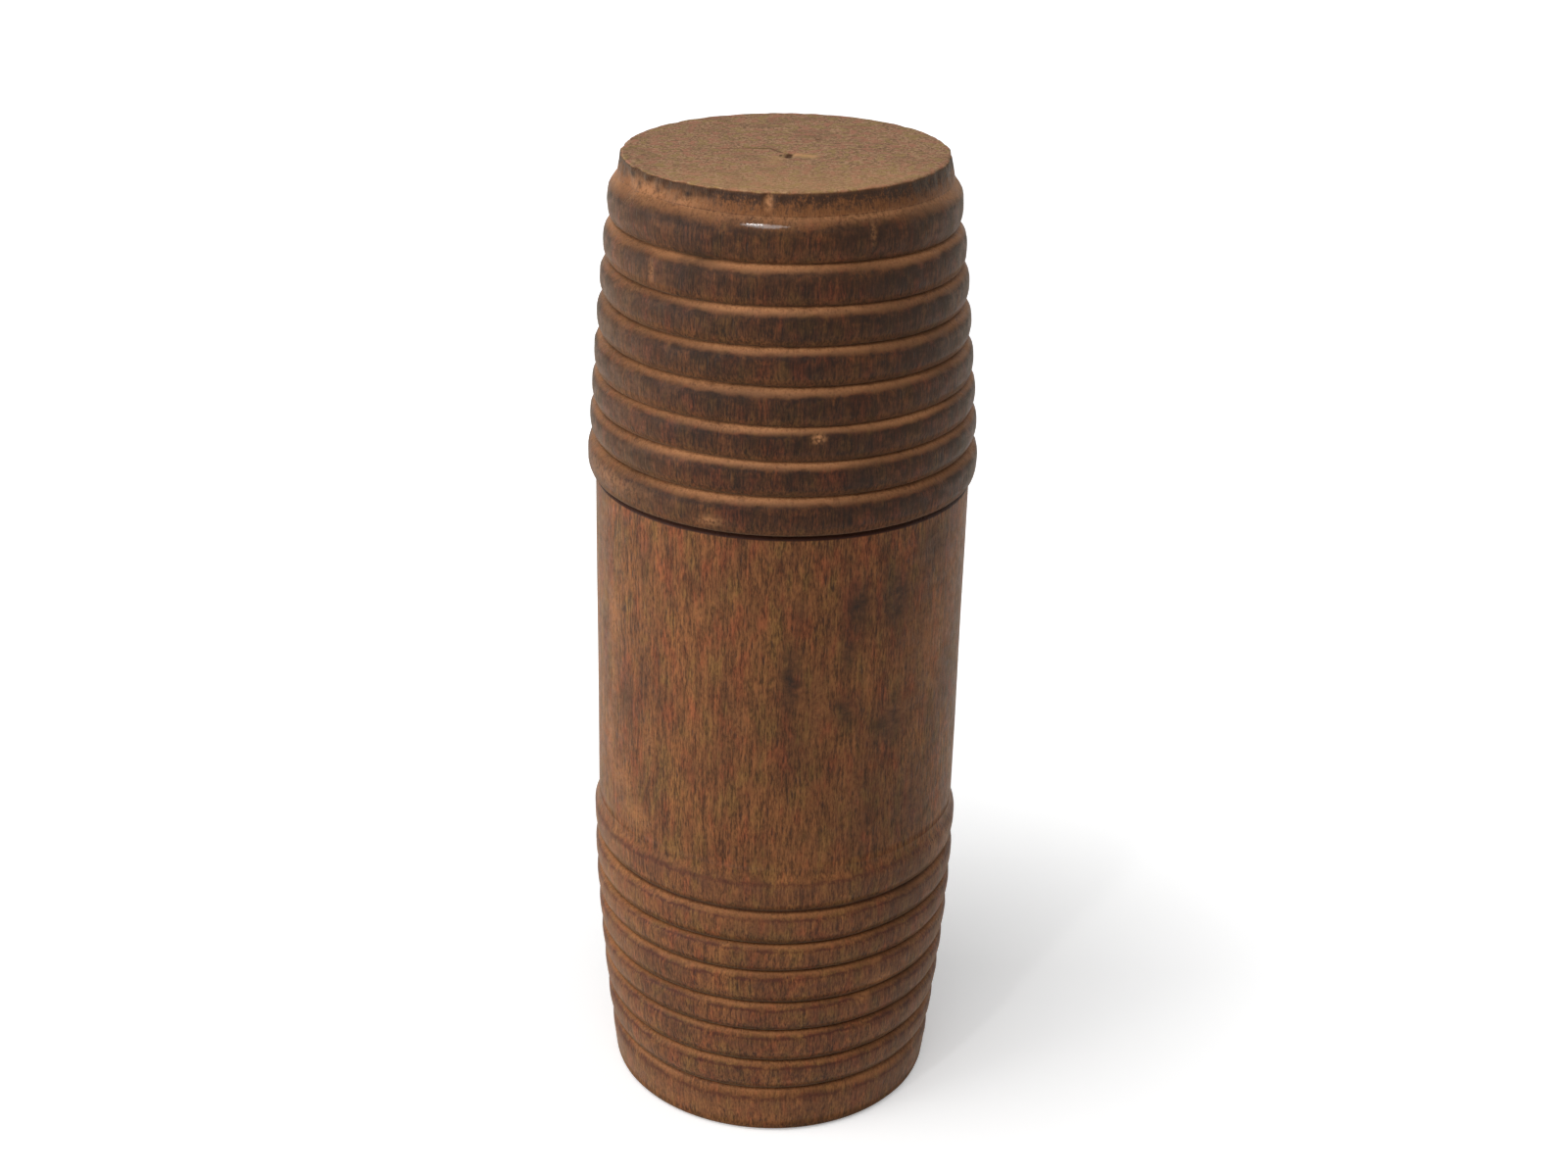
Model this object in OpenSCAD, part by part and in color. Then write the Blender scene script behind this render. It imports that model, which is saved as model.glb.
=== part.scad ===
// Turned wooden needle case: a hollow body with a spigot, and a push-on lid.
// The axis is Z, the foot stands on z = 0, and the lid is on.

/* [Overall] */
// Height with the lid pushed home
case_height = 90; // [80:1:110]
// Height of the lid, from its rim to its flat crown
lid_height = 28.5; // [24:0.5:34]

/* [Body turning] */
// Diameter of the smooth middle of the body
body_diameter = 33.4; // [30:0.2:38]
// Height of the beaded base, up to the start of its top cove
base_height = 29.4; // [20:0.2:34]
// Diameter over the base beads at the foot
foot_diameter = 30.2; // [27:0.2:33]
// Diameter over the base beads at their top
base_top_diameter = 34.2; // [31:0.2:36]
// How far the base bulges past a straight taper
base_bow = 0.51; // [0:0.05:1]
// Depth of the grooves between the base beads
base_groove = 0.45; // [0.2:0.05:0.8]

/* [Lid turning] */
// Diameter over the lid beads at the rim
rim_diameter = 34.9; // [32:0.1:38]
// Diameter over the lid beads at the crown
crown_diameter = 30; // [29:0.2:33]
// How far the lid bulges past a straight taper
lid_bow = 0.22; // [0:0.05:0.6]
// Depth of the grooves between the lid beads
lid_groove = 0.6; // [0.3:0.05:0.8]
// Diameter of the flat crown disc
disc_diameter = 28; // [24:0.2:29]
// Height of the crown disc above the first bead
disc_height = 2; // [1:0.1:3]

/* [Bore and spigot] */
// Diameter of the bore that holds the needles
bore_diameter = 22; // [16:0.5:23]
// Wood left under the bore at its centre
floor_thickness = 6; // [4:0.5:12]
// Diameter of the spigot that the lid slides over
spigot_diameter = 26.8; // [25.6:0.1:27.2]
// Length of the spigot
spigot_length = 12; // [8:0.5:14]
// Clearance all round between spigot and lid
fit_clearance = 0.06; // [0.03:0.01:0.1]
// Gap above the spigot inside the lid
socket_gap = 0.8; // [0.4:0.1:1.5]
// Wood left under the crown at the centre of the lid
crown_thickness = 5.5; // [4:0.5:8]

/* [Hidden] */
$fn = 96;

wood_body = [0.42, 0.27, 0.18];
wood_lid = [0.36, 0.22, 0.15];

// Heights of the beads from the top down, in proportion, as turned by eye
base_beads = [4.35, 3.4, 3.05, 3.55, 3.15, 3.5, 3.35, 5.05];
lid_beads = [3.75, 3.45, 3.3, 3.3, 3.2, 2.95, 3.15, 3.4];

steps = 10;            // profile steps on one bead
crest = 0.42;          // where a bead is widest, as a part of its height
cove = 0.34;           // part of the top base bead that is its cove
foot_round = 0.8;      // radius at the edge of the foot
shoulder_chamfer = 0.3;
edge_chamfer = 0.4;
drill_point = 118;     // angle of the drill's point

rim_z = case_height - lid_height;
disc_z = case_height - disc_height;
spigot_top = rim_z + spigot_length;
socket_top = spigot_top + socket_gap;
bore_r = bore_diameter / 2;
spigot_r = spigot_diameter / 2;
socket_r = spigot_r + fit_clearance;
point_drop = bore_r / tan(drill_point / 2);

function total(list, count) = count == 0 ? 0 : list[count - 1] + total(list, count - 1);

// Height of groove k, counted down from the top of a run of beads
function groove_z(beads, top, bottom, k) =
    top - (top - bottom) * total(beads, k) / total(beads, len(beads));

// Radius over the crests: a straight taper with a bow
function envelope(z, z0, d0, z1, d1, bow) =
    let (t = (z - z0) / (z1 - z0))
    (d0 + (d1 - d0) * t) / 2 + 4 * bow * t * (1 - t);

function base_envelope(z) =
    envelope(z, 0, foot_diameter, base_height, base_top_diameter, base_bow);

function lid_envelope(z) =
    envelope(z, rim_z, rim_diameter, disc_z, crown_diameter, lid_bow);

// How far a bead lies inside its envelope, from 1 in a groove to 0 at its crest.
// The shoulder above the crest is a round, and the face below it is flatter.
function inset(t) = t < crest ? pow(1 - t / crest, 2.2) : pow((t - crest) / (1 - crest), 3.2);

function base_radius(z, t) = base_envelope(z) - base_groove * inset(t);
function lid_radius(z, t) = lid_envelope(z) - lid_groove * inset(t);

// The top base bead rises out of the smooth body in a cove
function top_bead_radius(z, t) =
    t < cove
        ? body_diameter / 2 + (base_envelope(z) - body_diameter / 2) * (1 - cos(180 * t / cove)) / 2
        : base_envelope(z) - base_groove * pow((t - cove) / (1 - cove), 3);

// The lowest base bead runs down to the foot and rounds under
function foot_bead_radius(z, t) =
    base_envelope(z)
        - (t < crest / 2 ? base_groove * pow(1 - 2 * t / crest, 2.2) : 0)
        - (z < foot_round ? foot_round - sqrt(pow(foot_round, 2) - pow(foot_round - z, 2)) : 0);

last_base = len(base_beads) - 1;

base_profile = [
    for (k = [0:last_base], i = [0:steps])
        let (
            upper = groove_z(base_beads, base_height, 0, k),
            lower = groove_z(base_beads, base_height, 0, k + 1),
            t = i / steps,
            z = upper + (lower - upper) * t
        )
        if (i > 0 || k == 0)
            [
                k == 0 ? top_bead_radius(z, t)
                    : k == last_base ? foot_bead_radius(z, t)
                    : base_radius(z, t),
                z
            ]
];

lid_profile = [
    for (k = [0:len(lid_beads) - 1], i = [0:steps])
        let (
            upper = groove_z(lid_beads, disc_z, rim_z, k),
            lower = groove_z(lid_beads, disc_z, rim_z, k + 1),
            t = i / steps,
            z = upper + (lower - upper) * t
        )
        if (i > 0 || k == 0) [lid_radius(z, t), z]
];

// Blind drilled hole that opens upwards at z_top, its point at z_point
module drilled_hole(z_point, z_top, mouth_chamfer) {
    rotate_extrude()
        polygon([
            [0, z_point],
            [bore_r, z_point + point_drop],
            [bore_r, z_top - mouth_chamfer],
            [bore_r + mouth_chamfer, z_top],
            [bore_r + mouth_chamfer, z_top + 1],
            [0, z_top + 1]
        ]);
}

module case_body() {
    color(wood_body)
        difference() {
            rotate_extrude()
                polygon(concat(
                    [
                        [0, spigot_top],
                        [spigot_r - edge_chamfer, spigot_top],
                        [spigot_r, spigot_top - edge_chamfer],
                        [spigot_r, rim_z],
                        [body_diameter / 2 - shoulder_chamfer, rim_z],
                        [body_diameter / 2, rim_z - shoulder_chamfer]
                    ],
                    base_profile,
                    [[0, 0]]
                ));
            drilled_hole(floor_thickness, spigot_top, edge_chamfer);
        }
}

// The lid is bored for the spigot, and drilled deeper so the needles can stand proud
module lid_hollow() {
    rotate_extrude()
        polygon([
            [0, rim_z - 1],
            [socket_r + edge_chamfer, rim_z - 1],
            [socket_r + edge_chamfer, rim_z],
            [socket_r, rim_z + edge_chamfer],
            [socket_r, socket_top],
            [bore_r, socket_top],
            [bore_r, case_height - crown_thickness - point_drop],
            [0, case_height - crown_thickness]
        ]);
}

module lid() {
    color(wood_lid)
        difference() {
            rotate_extrude()
                polygon(concat(
                    [[0, case_height], [disc_diameter / 2, case_height]],
                    lid_profile,
                    [[0, rim_z]]
                ));
            lid_hollow();
        }
}

case_body();
lid();
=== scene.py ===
import math

import bpy
import numpy as np
from mathutils import Matrix, Vector


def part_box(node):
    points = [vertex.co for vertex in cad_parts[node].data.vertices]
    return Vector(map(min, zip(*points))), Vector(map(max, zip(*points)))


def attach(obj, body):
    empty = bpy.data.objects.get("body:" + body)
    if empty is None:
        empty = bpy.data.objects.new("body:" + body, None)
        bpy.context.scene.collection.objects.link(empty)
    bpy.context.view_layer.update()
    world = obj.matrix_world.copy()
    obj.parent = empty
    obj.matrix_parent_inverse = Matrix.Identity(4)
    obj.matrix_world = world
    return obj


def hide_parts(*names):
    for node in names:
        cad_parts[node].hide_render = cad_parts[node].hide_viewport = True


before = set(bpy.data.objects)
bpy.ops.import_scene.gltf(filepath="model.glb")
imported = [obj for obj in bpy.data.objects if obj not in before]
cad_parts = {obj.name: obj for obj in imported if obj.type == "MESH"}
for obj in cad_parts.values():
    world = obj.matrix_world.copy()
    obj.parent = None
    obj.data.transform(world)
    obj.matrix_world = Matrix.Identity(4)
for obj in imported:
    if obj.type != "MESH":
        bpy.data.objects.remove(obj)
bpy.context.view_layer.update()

MM = 0.001

# --- Case body ----------------------------------------------------------------
# One turning of close-grained hardwood: foot, eight base beads, smooth barrel,
# shoulder, spigot and drilled bore. It is stained brown and waxed outside, and
# left as the tool cut it on the spigot and in the bore.

spigot_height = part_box("case_body")[1].z
lid_low, lid_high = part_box("lid")
rim_height = lid_low.z
barrel_radius = 16.7 * MM
spigot_radius = 13.4 * MM
bore_radius = 11 * MM
bore_floor = 6 * MM
base_height = 29.4 * MM
foot_radius = 15.1 * MM
base_top_radius = 17.1 * MM
base_bow = 0.51 * MM
base_bead_heights = [4.35, 3.4, 3.05, 3.55, 3.15, 3.5, 3.35, 5.05]
base_groove_depth = 0.5 * MM
shoulder_power = 1.6
base_face_power = 4.0
base_knife_cuts = np.array([0, 0.2, 0.3, 0.3, 0.3, 0.3, 0.3, 0.3, 0]) * MM
# How far the groove mark's dirt and painted shade climbs each base bead's face, and how strong it is
base_dark_above = [0.72 * MM] * 8
base_groove_dirt_and_shade = 0.75
bead_crest = 0.3
knife_reach = 0.11 * MM
groove_reach = 0.08 * MM
top_cove = 0.32
top_crest_down = 0.22
top_wear_from = 0.12
top_wear_to = 0.28
top_cut_from = 0.94
foot_share = 0.55
foot_round = 0.8 * MM
edge_chamfer = 0.4 * MM
seam_reach = 0.1 * MM
calm_reach = 2 * MM
drill_half_angle = math.radians(59)
columns = 400
bead_steps = 15
hair = 0.001 * MM

# Marks that a surface carries from the mesh into its material, all 0 to 1: how
# far down a bead, how much of a bead, dirt and painted shade in a groove or seam,
# sawn end grain, torn edge grain, bare wood, worn bead shoulders, rubbed places
# (some of them painted light), soiled places (some of them painted shade) and
# places polished by the thumb.
MARKS = (
    "down", "beaded", "groove", "end_grain", "torn", "bare",
    "worn", "rubbed", "soiled_and_shaded", "polished",
)


def rows(radius, height, down=0.5, beaded=0.0, groove=0.0, end_grain=0.0, torn=0.0, bare=0.0):
    """Profile rows: radius, height and the six marks that follow the profile, a column each."""
    given = (radius, height, down, beaded, groove, end_grain, torn, bare)
    return np.column_stack(np.broadcast_arrays(*given))


def straight(start, end, count, **marks):
    """Rows evenly along the straight line from start to end, leaving out the end itself."""
    t = np.arange(count) / count
    return rows(start[0] + (end[0] - start[0]) * t, start[1] + (end[1] - start[1]) * t, **marks)


def groove_heights(bead_heights, top, bottom):
    """The run from top to bottom shared out in proportion to the bead heights."""
    share = np.concatenate([[0], np.cumsum(bead_heights)]) / np.sum(bead_heights)
    return top + (bottom - top) * share


def bowed(t, start, end, bow):
    """A straight taper from start to end plus a parabola that is bow high at the middle."""
    return start + (end - start) * t + 4 * bow * t * (1 - t)


def bead_inset(t, face_power):
    """1 in the grooves and 0 at the crest: what is left of the way to the crest, to one power,
    on the shoulder above, and the way on from it, to another, on the flatter face below."""
    above = (1 - np.clip(t / bead_crest, 0, 1)) ** shoulder_power
    below = np.clip((t - bead_crest) / (1 - bead_crest), 0, 1) ** face_power
    return np.where(t < bead_crest, above, below)


def bead_rows(grooves, envelope, depths, face_power, knife_cuts, dark_above):
    """Rows down a run of beads. Each bead has cosine-spaced rows, so they crowd into the grooves.
    Radius is the envelope less the groove depth times the bead inset, less a knife cut that
    falls off as a Gaussian of the distance from the groove. Where there is a cut, the groove
    mark falls off with the cube of that distance, faster below the groove than on the face
    above it, where each bead has its own length in dark_above."""
    t = (1 - np.cos(np.pi * np.arange(bead_steps) / bead_steps)) / 2
    upper, lower = grooves[:-1, None], grooves[1:, None]
    height = upper + (lower - upper) * t
    depth = np.where(t < bead_crest, depths[:-1, None], depths[1:, None])
    near = np.minimum(upper - height, height - lower)
    cut = np.where(t < 0.5, knife_cuts[:-1, None], knife_cuts[1:, None])
    cut_away = cut * np.exp(-((near / knife_reach) ** 2))
    radius = envelope(height) - depth * bead_inset(t, face_power) - cut_away
    reach = np.where(t < 0.5, groove_reach, np.array(dark_above)[:, None])
    # The groove mark: dirt and painted shade, darkest in the groove
    dark = np.exp(-((near / reach) ** 3)) * (cut > 0)
    down = t * np.ones_like(height)
    return rows(radius.ravel(), height.ravel(), down=down.ravel(), beaded=1.0, groove=dark.ravel())


def waves(angle, height, seed, count, turns, length):
    """A sum of count cosines of random phase over the root of count, mostly within -1.5 to
    1.5. Each has 1 to turns waves round the axis, and up the axis a wave number drawn from a
    normal spread of one wave in length."""
    rng = np.random.default_rng(seed)
    around = rng.integers(1, turns + 1, count)
    along = rng.normal(0, 2 * np.pi / length, count)
    phase = rng.uniform(0, 2 * np.pi, count)
    total = np.zeros(np.broadcast(angle, height).shape)
    for n, m, p in zip(around, along, phase):
        total = total + np.cos(n * angle + m * height + p)
    return total / math.sqrt(count)


def spots(angle, height, radius, places):
    """The strongest of a set of spots, each a Gaussian of its half width round the piece and
    its half length up it. A place is (degrees round, height, half width, half length,
    strength), and its lengths are in millimetres."""
    total = np.zeros(np.broadcast(angle, height).shape)
    for degrees, at, width, length, strength in places:
        turn = (angle - math.radians(degrees) + np.pi) % (2 * np.pi) - np.pi
        around = turn * radius / (width * MM)
        along = (height - at * MM) / (length * MM)
        total = np.maximum(total, strength * np.exp(-(around ** 2 + along ** 2)))
    return total


def turned_piece(name, profile, wear):
    """A closed solid of revolution. The profile runs from the axis under the piece, up the
    outside and back to the axis inside. wear(angle, profile) gives x, y, z and the marks of
    every point, as arrays of rows by columns."""
    angle = np.linspace(0, 2 * np.pi, columns, endpoint=False)[None, :]
    inner = profile[1:-1]
    points, marks = wear(angle, inner)
    count = len(inner)
    index = np.arange(count * columns).reshape(count, columns)
    right = np.roll(index, -1, axis=1)
    quads = np.stack([index[:-1], right[:-1], right[1:], index[1:]], axis=-1).reshape(-1, 4)
    first, last = count * columns, count * columns + 1
    low_fan = np.stack([np.full(columns, first), right[0], index[0]], axis=-1)
    high_fan = np.stack([np.full(columns, last), index[-1], right[-1]], axis=-1)
    grid = np.stack(points, axis=-1)
    poles = [grid[0].mean(axis=0), grid[-1].mean(axis=0)]
    vertices = np.concatenate([grid.reshape(-1, 3), poles])
    loops = np.concatenate([quads.ravel(), low_fan.ravel(), high_fan.ravel()])
    sizes = np.concatenate([np.full(len(quads), 4), np.full(2 * columns, 3)])
    starts = np.concatenate([[0], np.cumsum(sizes)[:-1]])
    mesh = bpy.data.meshes.new(name)
    mesh.vertices.add(len(vertices))
    mesh.vertices.foreach_set("co", vertices.astype(np.float32).ravel())
    mesh.loops.add(len(loops))
    mesh.loops.foreach_set("vertex_index", loops.astype(np.int32))
    mesh.polygons.add(len(sizes))
    mesh.polygons.foreach_set("loop_start", starts.astype(np.int32))
    mesh.polygons.foreach_set("use_smooth", np.ones(len(sizes), bool))
    mesh.update(calc_edges=True)
    for mark, value in zip(MARKS, marks):
        layer = mesh.attributes.new(mark, "FLOAT", "POINT")
        whole = np.concatenate([value.ravel(), [value[0].mean(), value[-1].mean()]])
        layer.data.foreach_set("value", np.clip(whole, 0, 1).astype(np.float32))
    mesh.validate()
    piece = bpy.data.objects.new(name, mesh)
    bpy.context.scene.collection.objects.link(piece)
    return piece


def spread(profile, angle):
    """The profile's columns as arrays of rows by columns round the axis."""
    ones = np.ones_like(angle)
    return [profile[:, k, None] * ones for k in range(profile.shape[1])]


def base_envelope(height):
    """Radius of the bead crests: a bowed taper from the foot up to the top bead."""
    return bowed(height / base_height, foot_radius, base_top_radius, base_bow)


def base_profile():
    """Top down: the top bead flares out of the barrel as the square of the way down to its crest,
    the rest are plain beads, and the last keeps to the envelope below its crest and rounds
    under the foot in a quarter of a circle."""
    grooves = groove_heights(base_bead_heights, base_height, 0)
    depths = np.full(len(grooves), base_groove_depth)
    run = bead_rows(
        grooves, base_envelope, depths, base_face_power, base_knife_cuts, base_dark_above
    )
    radius, height, down, beaded, groove = run[:, :5].T.copy()
    in_top = height > grooves[1] + hair
    top_t = (base_height - height) / (base_height - grooves[1])
    rise = np.clip(top_t / top_cove, 0, 1) ** 2
    past_cove = np.clip((top_t - top_cove) / (1 - top_cove), 0, 1)
    fall = base_groove_depth * past_cove ** base_face_power
    top_groove = np.where(top_t > 0.5, groove, 0)
    top_radius = barrel_radius + (base_envelope(height) - barrel_radius) * rise - fall
    top_radius = top_radius - base_knife_cuts[1] * np.where(top_t > top_cut_from, groove, 0)
    top_down = np.interp(top_t, [0, top_cove, 1], [0, top_crest_down, 1])
    top_beaded = np.clip((top_t - top_wear_from) / (top_wear_to - top_wear_from), 0, 1)
    in_foot = height < foot_share * grooves[-2]
    under = foot_round ** 2 - np.clip(foot_round - height, 0, foot_round) ** 2
    foot_line = base_envelope(height) - (foot_round - np.sqrt(under))
    run[:, 0] = np.where(in_top, top_radius, np.where(in_foot, foot_line, radius))
    run[:, 2] = np.where(in_top, top_down, down)
    run[:, 3] = np.where(in_top, top_beaded, beaded)
    run[:, 4] = base_groove_dirt_and_shade * np.where(in_top, top_groove, np.where(in_foot, 0, groove))
    return run


# The marks of a surface that is cut across the grain and left bare
sawn_bare = {"end_grain": 1.0, "bare": 1.0}


def body_profile():
    """Axis under the foot, up the outside, over the spigot and down the bore to the drill's point."""
    outside = base_profile()[::-1]
    shoulder_low = rim_height - edge_chamfer
    shoulder_in = barrel_radius - edge_chamfer
    clean_to = shoulder_low - seam_reach
    point_top = bore_floor + bore_radius / math.tan(drill_half_angle)
    spigot_edge = spigot_height - edge_chamfer
    spigot_in = spigot_radius - edge_chamfer
    bore_out = bore_radius + edge_chamfer
    return np.concatenate([
        straight((0, 0), (outside[0, 0], 0), 7, end_grain=1.0),
        outside,
        straight((barrel_radius, base_height), (barrel_radius, clean_to), 40),
        rows(barrel_radius, clean_to),
        # The chamfer under the lid's rim takes the groove mark: painted shade in the gap between lid
        # and body
        straight((barrel_radius, shoulder_low), (shoulder_in, rim_height), 4, groove=1.0),
        straight((shoulder_in, rim_height), (spigot_radius, rim_height), 5, **sawn_bare),
        straight((spigot_radius, rim_height), (spigot_radius, spigot_edge), 12, bare=1.0),
        straight((spigot_radius, spigot_edge), (spigot_in, spigot_height), 3, bare=1.0),
        straight((spigot_in, spigot_height), (bore_out, spigot_height), 4, **sawn_bare),
        straight((bore_out, spigot_height), (bore_radius, spigot_edge), 3, bare=1.0),
        straight((bore_radius, spigot_edge), (bore_radius, point_top), 10, bare=1.0),
        straight((bore_radius, point_top), (0, bore_floor), 6, **sawn_bare),
        rows(0.0, bore_floor, end_grain=1.0, bare=1.0),
    ])


# Bruises in the wood, with their depths in millimetres
body_bruises = [
    (-107, 57.1, 0.25, 0.25, 0.08),
    (-28, 33.2, 0.25, 0.3, 0.07),
    (-62, 46.0, 0.5, 0.9, 0.05),
    (-128, 39.5, 0.4, 0.8, 0.05),
    (-84, 17.3, 0.5, 0.25, 0.10),
    (-52, 14.2, 0.6, 0.3, 0.12),
    (-122, 21.0, 0.4, 0.25, 0.10),
    (20, 44.0, 0.5, 1.2, 0.08),
    (75, 52.0, 0.4, 0.7, 0.09),
    (132, 19.2, 0.8, 0.3, 0.13),
    (168, 36.5, 0.6, 1.6, 0.07),
]

# Dark smudges, where dirt and polish have gathered, and painted shade: the first two,
# broad and faint, darken the barrel's front right, the side away from the window
body_smudges_and_shade = [
    # These two broad faint ones are painted shade on the side away from the window
    (-80, 44.0, 5.0, 14.0, 0.26),
    (-60, 44.0, 5.0, 14.0, 0.2),
    (-86, 48.4, 1.3, 3.6, 0.95),
    (-96, 51.0, 0.9, 3.6, 0.3),
    (-69, 50.4, 0.8, 2.6, 0.85),
    (-66, 55.0, 1.3, 2.6, 0.95),
    (-69, 45.0, 1.6, 2.2, 0.8),
    (-54, 43.0, 2.2, 2.6, 0.85),
    (-53, 54.6, 1.5, 2.8, 1.0),
    (-39, 58.4, 1.9, 1.8, 0.85),
    (-84, 54.4, 0.9, 1.8, 0.6),
    (-66, 43.8, 0.9, 2.6, 0.4),
    (-37, 42.4, 1.2, 2.0, 0.4),
    (-46, 33.4, 3.2, 4.2, 0.5),
    (-42, 36.4, 2.0, 2.6, 0.5),
    (-60, 34.0, 0.9, 1.8, 0.4),
    (-117, 32.0, 1.4, 3.0, 0.3),
    (-143, 43.0, 1.1, 3.0, 0.65),
    (-135, 57.0, 1.2, 1.8, 0.35),
    (-116, 38.0, 1.1, 1.6, 0.45),
    (-120, 45.0, 0.7, 3.4, 0.2),
    (-97, 54.0, 1.0, 2.6, 0.4),
    (8, 38.0, 2.4, 4.0, 0.6),
    (36, 53.0, 1.8, 3.4, 0.65),
    (70, 42.0, 2.6, 5.0, 0.5),
    (104, 50.0, 2.0, 3.4, 0.6),
    (137, 37.0, 2.2, 4.2, 0.6),
    (170, 47.0, 1.8, 3.6, 0.5),
    (-42, 24.6, 3.4, 4.0, 0.55),
    (-40, 13.0, 4.0, 5.0, 0.45),
    (-60, 0.4, 12.0, 0.7, 0.6),
    (-120, 0.4, 10.0, 0.7, 0.35),
]

# Places where the stain has been rubbed thin, and painted light: the broad faint one
# at -113 degrees lightens the barrel's front left, the side towards the window
body_rubs_and_light = [
    (-100, 24.6, 5.0, 3.2, 0.2),
    (-150, 20.0, 4.0, 9.0, 0.22),
    (-100, 2.5, 20.0, 1.6, 0.22),
    # This broad faint one is painted light on the side towards the window
    (-113, 46.0, 3.6, 14.0, 0.12),
    (-101, 44.0, 1.0, 3.2, 0.3),
    (-108, 54.4, 0.9, 2.6, 0.25),
    (-132, 52.6, 1.2, 4.2, 0.25),
    (-132.5, 39.8, 0.9, 2.4, 0.45),
    (-155, 38.0, 0.9, 2.8, 0.5),
    (-146, 34.4, 2.2, 1.5, 0.5),
    (-78, 46.0, 0.9, 3.0, 0.4),
    (-66, 36.4, 0.9, 3.6, 0.35),
    (-80, 31.4, 3.6, 2.6, 0.22),
    (-38, 49.0, 3.2, 4.4, 0.28),
    (-95, 28.0, 12.0, 0.9, 0.12),
    (-151, 50.0, 0.9, 3.4, 0.6),
    (-151, 44.0, 0.8, 2.4, 0.4),
    (-114.5, 53.7, 0.5, 1.6, 0.5),
    (-49, 43.8, 1.0, 1.8, 0.4),
    (-62.5, 47.0, 0.5, 1.6, 0.4),
    (-138, 31.6, 2.2, 1.3, 0.55),
    (-52, 15.9, 1.3, 0.7, 1.0),
    (-59, 14.6, 0.8, 0.6, 0.8),
    (-55, 18.2, 0.9, 0.5, 0.5),
    (18, 47.0, 1.2, 3.0, 0.5),
    (88, 36.0, 1.4, 2.6, 0.5),
    (150, 54.0, 1.2, 3.0, 0.5),
    (60, 18.0, 1.8, 0.8, 0.6),
    (122, 27.0, 2.2, 0.8, 0.5),
]


def body_wear(angle, profile):
    """Outside, the radius strays by slow waves and quick ones and loses the bruises, and the
    grooves wander a little in height. The surfaces that fit stay true."""
    radius, height, down, beaded, groove, end_grain, torn, bare = spread(profile, angle)
    outside = (1 - bare) * (1 - end_grain)
    run_in = np.clip(np.minimum(height, base_height - height) / calm_reach, 0, 1)
    wander = 0.06 * MM * waves(angle, height, seed=3, count=12, turns=5, length=14 * MM) * run_in
    stray = 0.025 * MM * waves(angle, height, seed=5, count=16, turns=4, length=30 * MM)
    ripple = 0.012 * MM * waves(angle, height, seed=8, count=40, turns=34, length=3 * MM)
    bruised = MM * spots(angle, height, radius, body_bruises)
    new_radius = radius + outside * (stray + ripple * run_in - bruised)
    points = (new_radius * np.cos(angle), new_radius * np.sin(angle), height + outside * wander)
    rubbed = outside * spots(angle, height, radius, body_rubs_and_light)
    soiled_and_shaded = outside * spots(angle, height, radius, body_smudges_and_shade)
    down = down + 0.03 * waves(angle, height, seed=11, count=16, turns=7, length=8 * MM)
    worn = 0.8 + 0.25 * waves(angle, height, seed=13, count=16, turns=9, length=6 * MM)
    worn = beaded * worn
    polished = np.zeros_like(radius)
    return points, (down, beaded, groove, end_grain, torn, bare, worn, rubbed, soiled_and_shaded, polished)


turned_body = turned_piece("turned_body", body_profile(), body_wear)


def tone(red, green, blue):
    """A colour given as it looks on a screen, 0 to 255, in the linear values that shaders take."""
    seen = np.array([red, green, blue]) / 255
    linear = np.where(seen <= 0.04045, seen / 12.92, ((seen + 0.055) / 1.055) ** 2.4)
    return (*linear, 1.0)


def plug(tree, node, key, value):
    """Give one input of a node its value, or link it to the socket that carries it."""
    if isinstance(value, bpy.types.NodeSocket):
        tree.links.new(value, node.inputs[key])
    else:
        node.inputs[key].default_value = value


def add(tree, kind, inputs=None, **settings):
    """A new shader node with its settings, and a value or a socket for each input named."""
    node = tree.nodes.new(kind)
    for key, value in settings.items():
        setattr(node, key, value)
    for key, value in (inputs or {}).items():
        plug(tree, node, key, value)
    return node


def calc(tree, operation, *values):
    """One step of arithmetic on up to three values."""
    return add(tree, "ShaderNodeMath", dict(enumerate(values)), operation=operation).outputs[0]


def band(tree, value, low, high, to_low=0.0, to_high=1.0):
    """A smooth step of value from low to high, onto to_low to to_high."""
    inputs = {"Value": value, "From Min": low, "From Max": high, "To Min": to_low, "To Max": to_high}
    return add(tree, "ShaderNodeMapRange", inputs, interpolation_type="SMOOTHSTEP").outputs["Result"]


# The Mix node has a set of sockets for each kind of data, and these are the ones for colours
mix_share, mix_under, mix_over, mix_result = 0, 6, 7, 2


def laid_on(tree, share, under, over, way="MIX"):
    """Colour over laid on colour under by share."""
    inputs = {mix_share: share, mix_under: under, mix_over: over}
    mix = add(tree, "ShaderNodeMix", inputs, data_type="RGBA", blend_type=way)
    return mix.outputs[mix_result]


def mark(tree, name):
    """One of the mesh's own surface marks."""
    node = add(tree, "ShaderNodeAttribute", attribute_name=name, attribute_type="GEOMETRY")
    return node.outputs["Fac"]


def stretched(tree, size, shift):
    """Object space in units of size, three lengths in millimetres, from shift millimetres away."""
    place = add(tree, "ShaderNodeTexCoord").outputs["Object"]
    inputs = {
        "Vector": place,
        "Location": Vector(shift) * MM,
        "Scale": Vector(size) * MM,
    }
    return add(tree, "ShaderNodeMapping", inputs, vector_type="TEXTURE").outputs["Vector"]


def grain(tree, size, shift, detail=2.0, roughness=0.55):
    """Noise from 0 to 1 whose features have the given size."""
    inputs = {
        "Vector": stretched(tree, size, shift),
        "Scale": 1.0,
        "Detail": detail,
        "Roughness": roughness,
    }
    return add(tree, "ShaderNodeTexNoise", inputs).outputs["Fac"]


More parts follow.
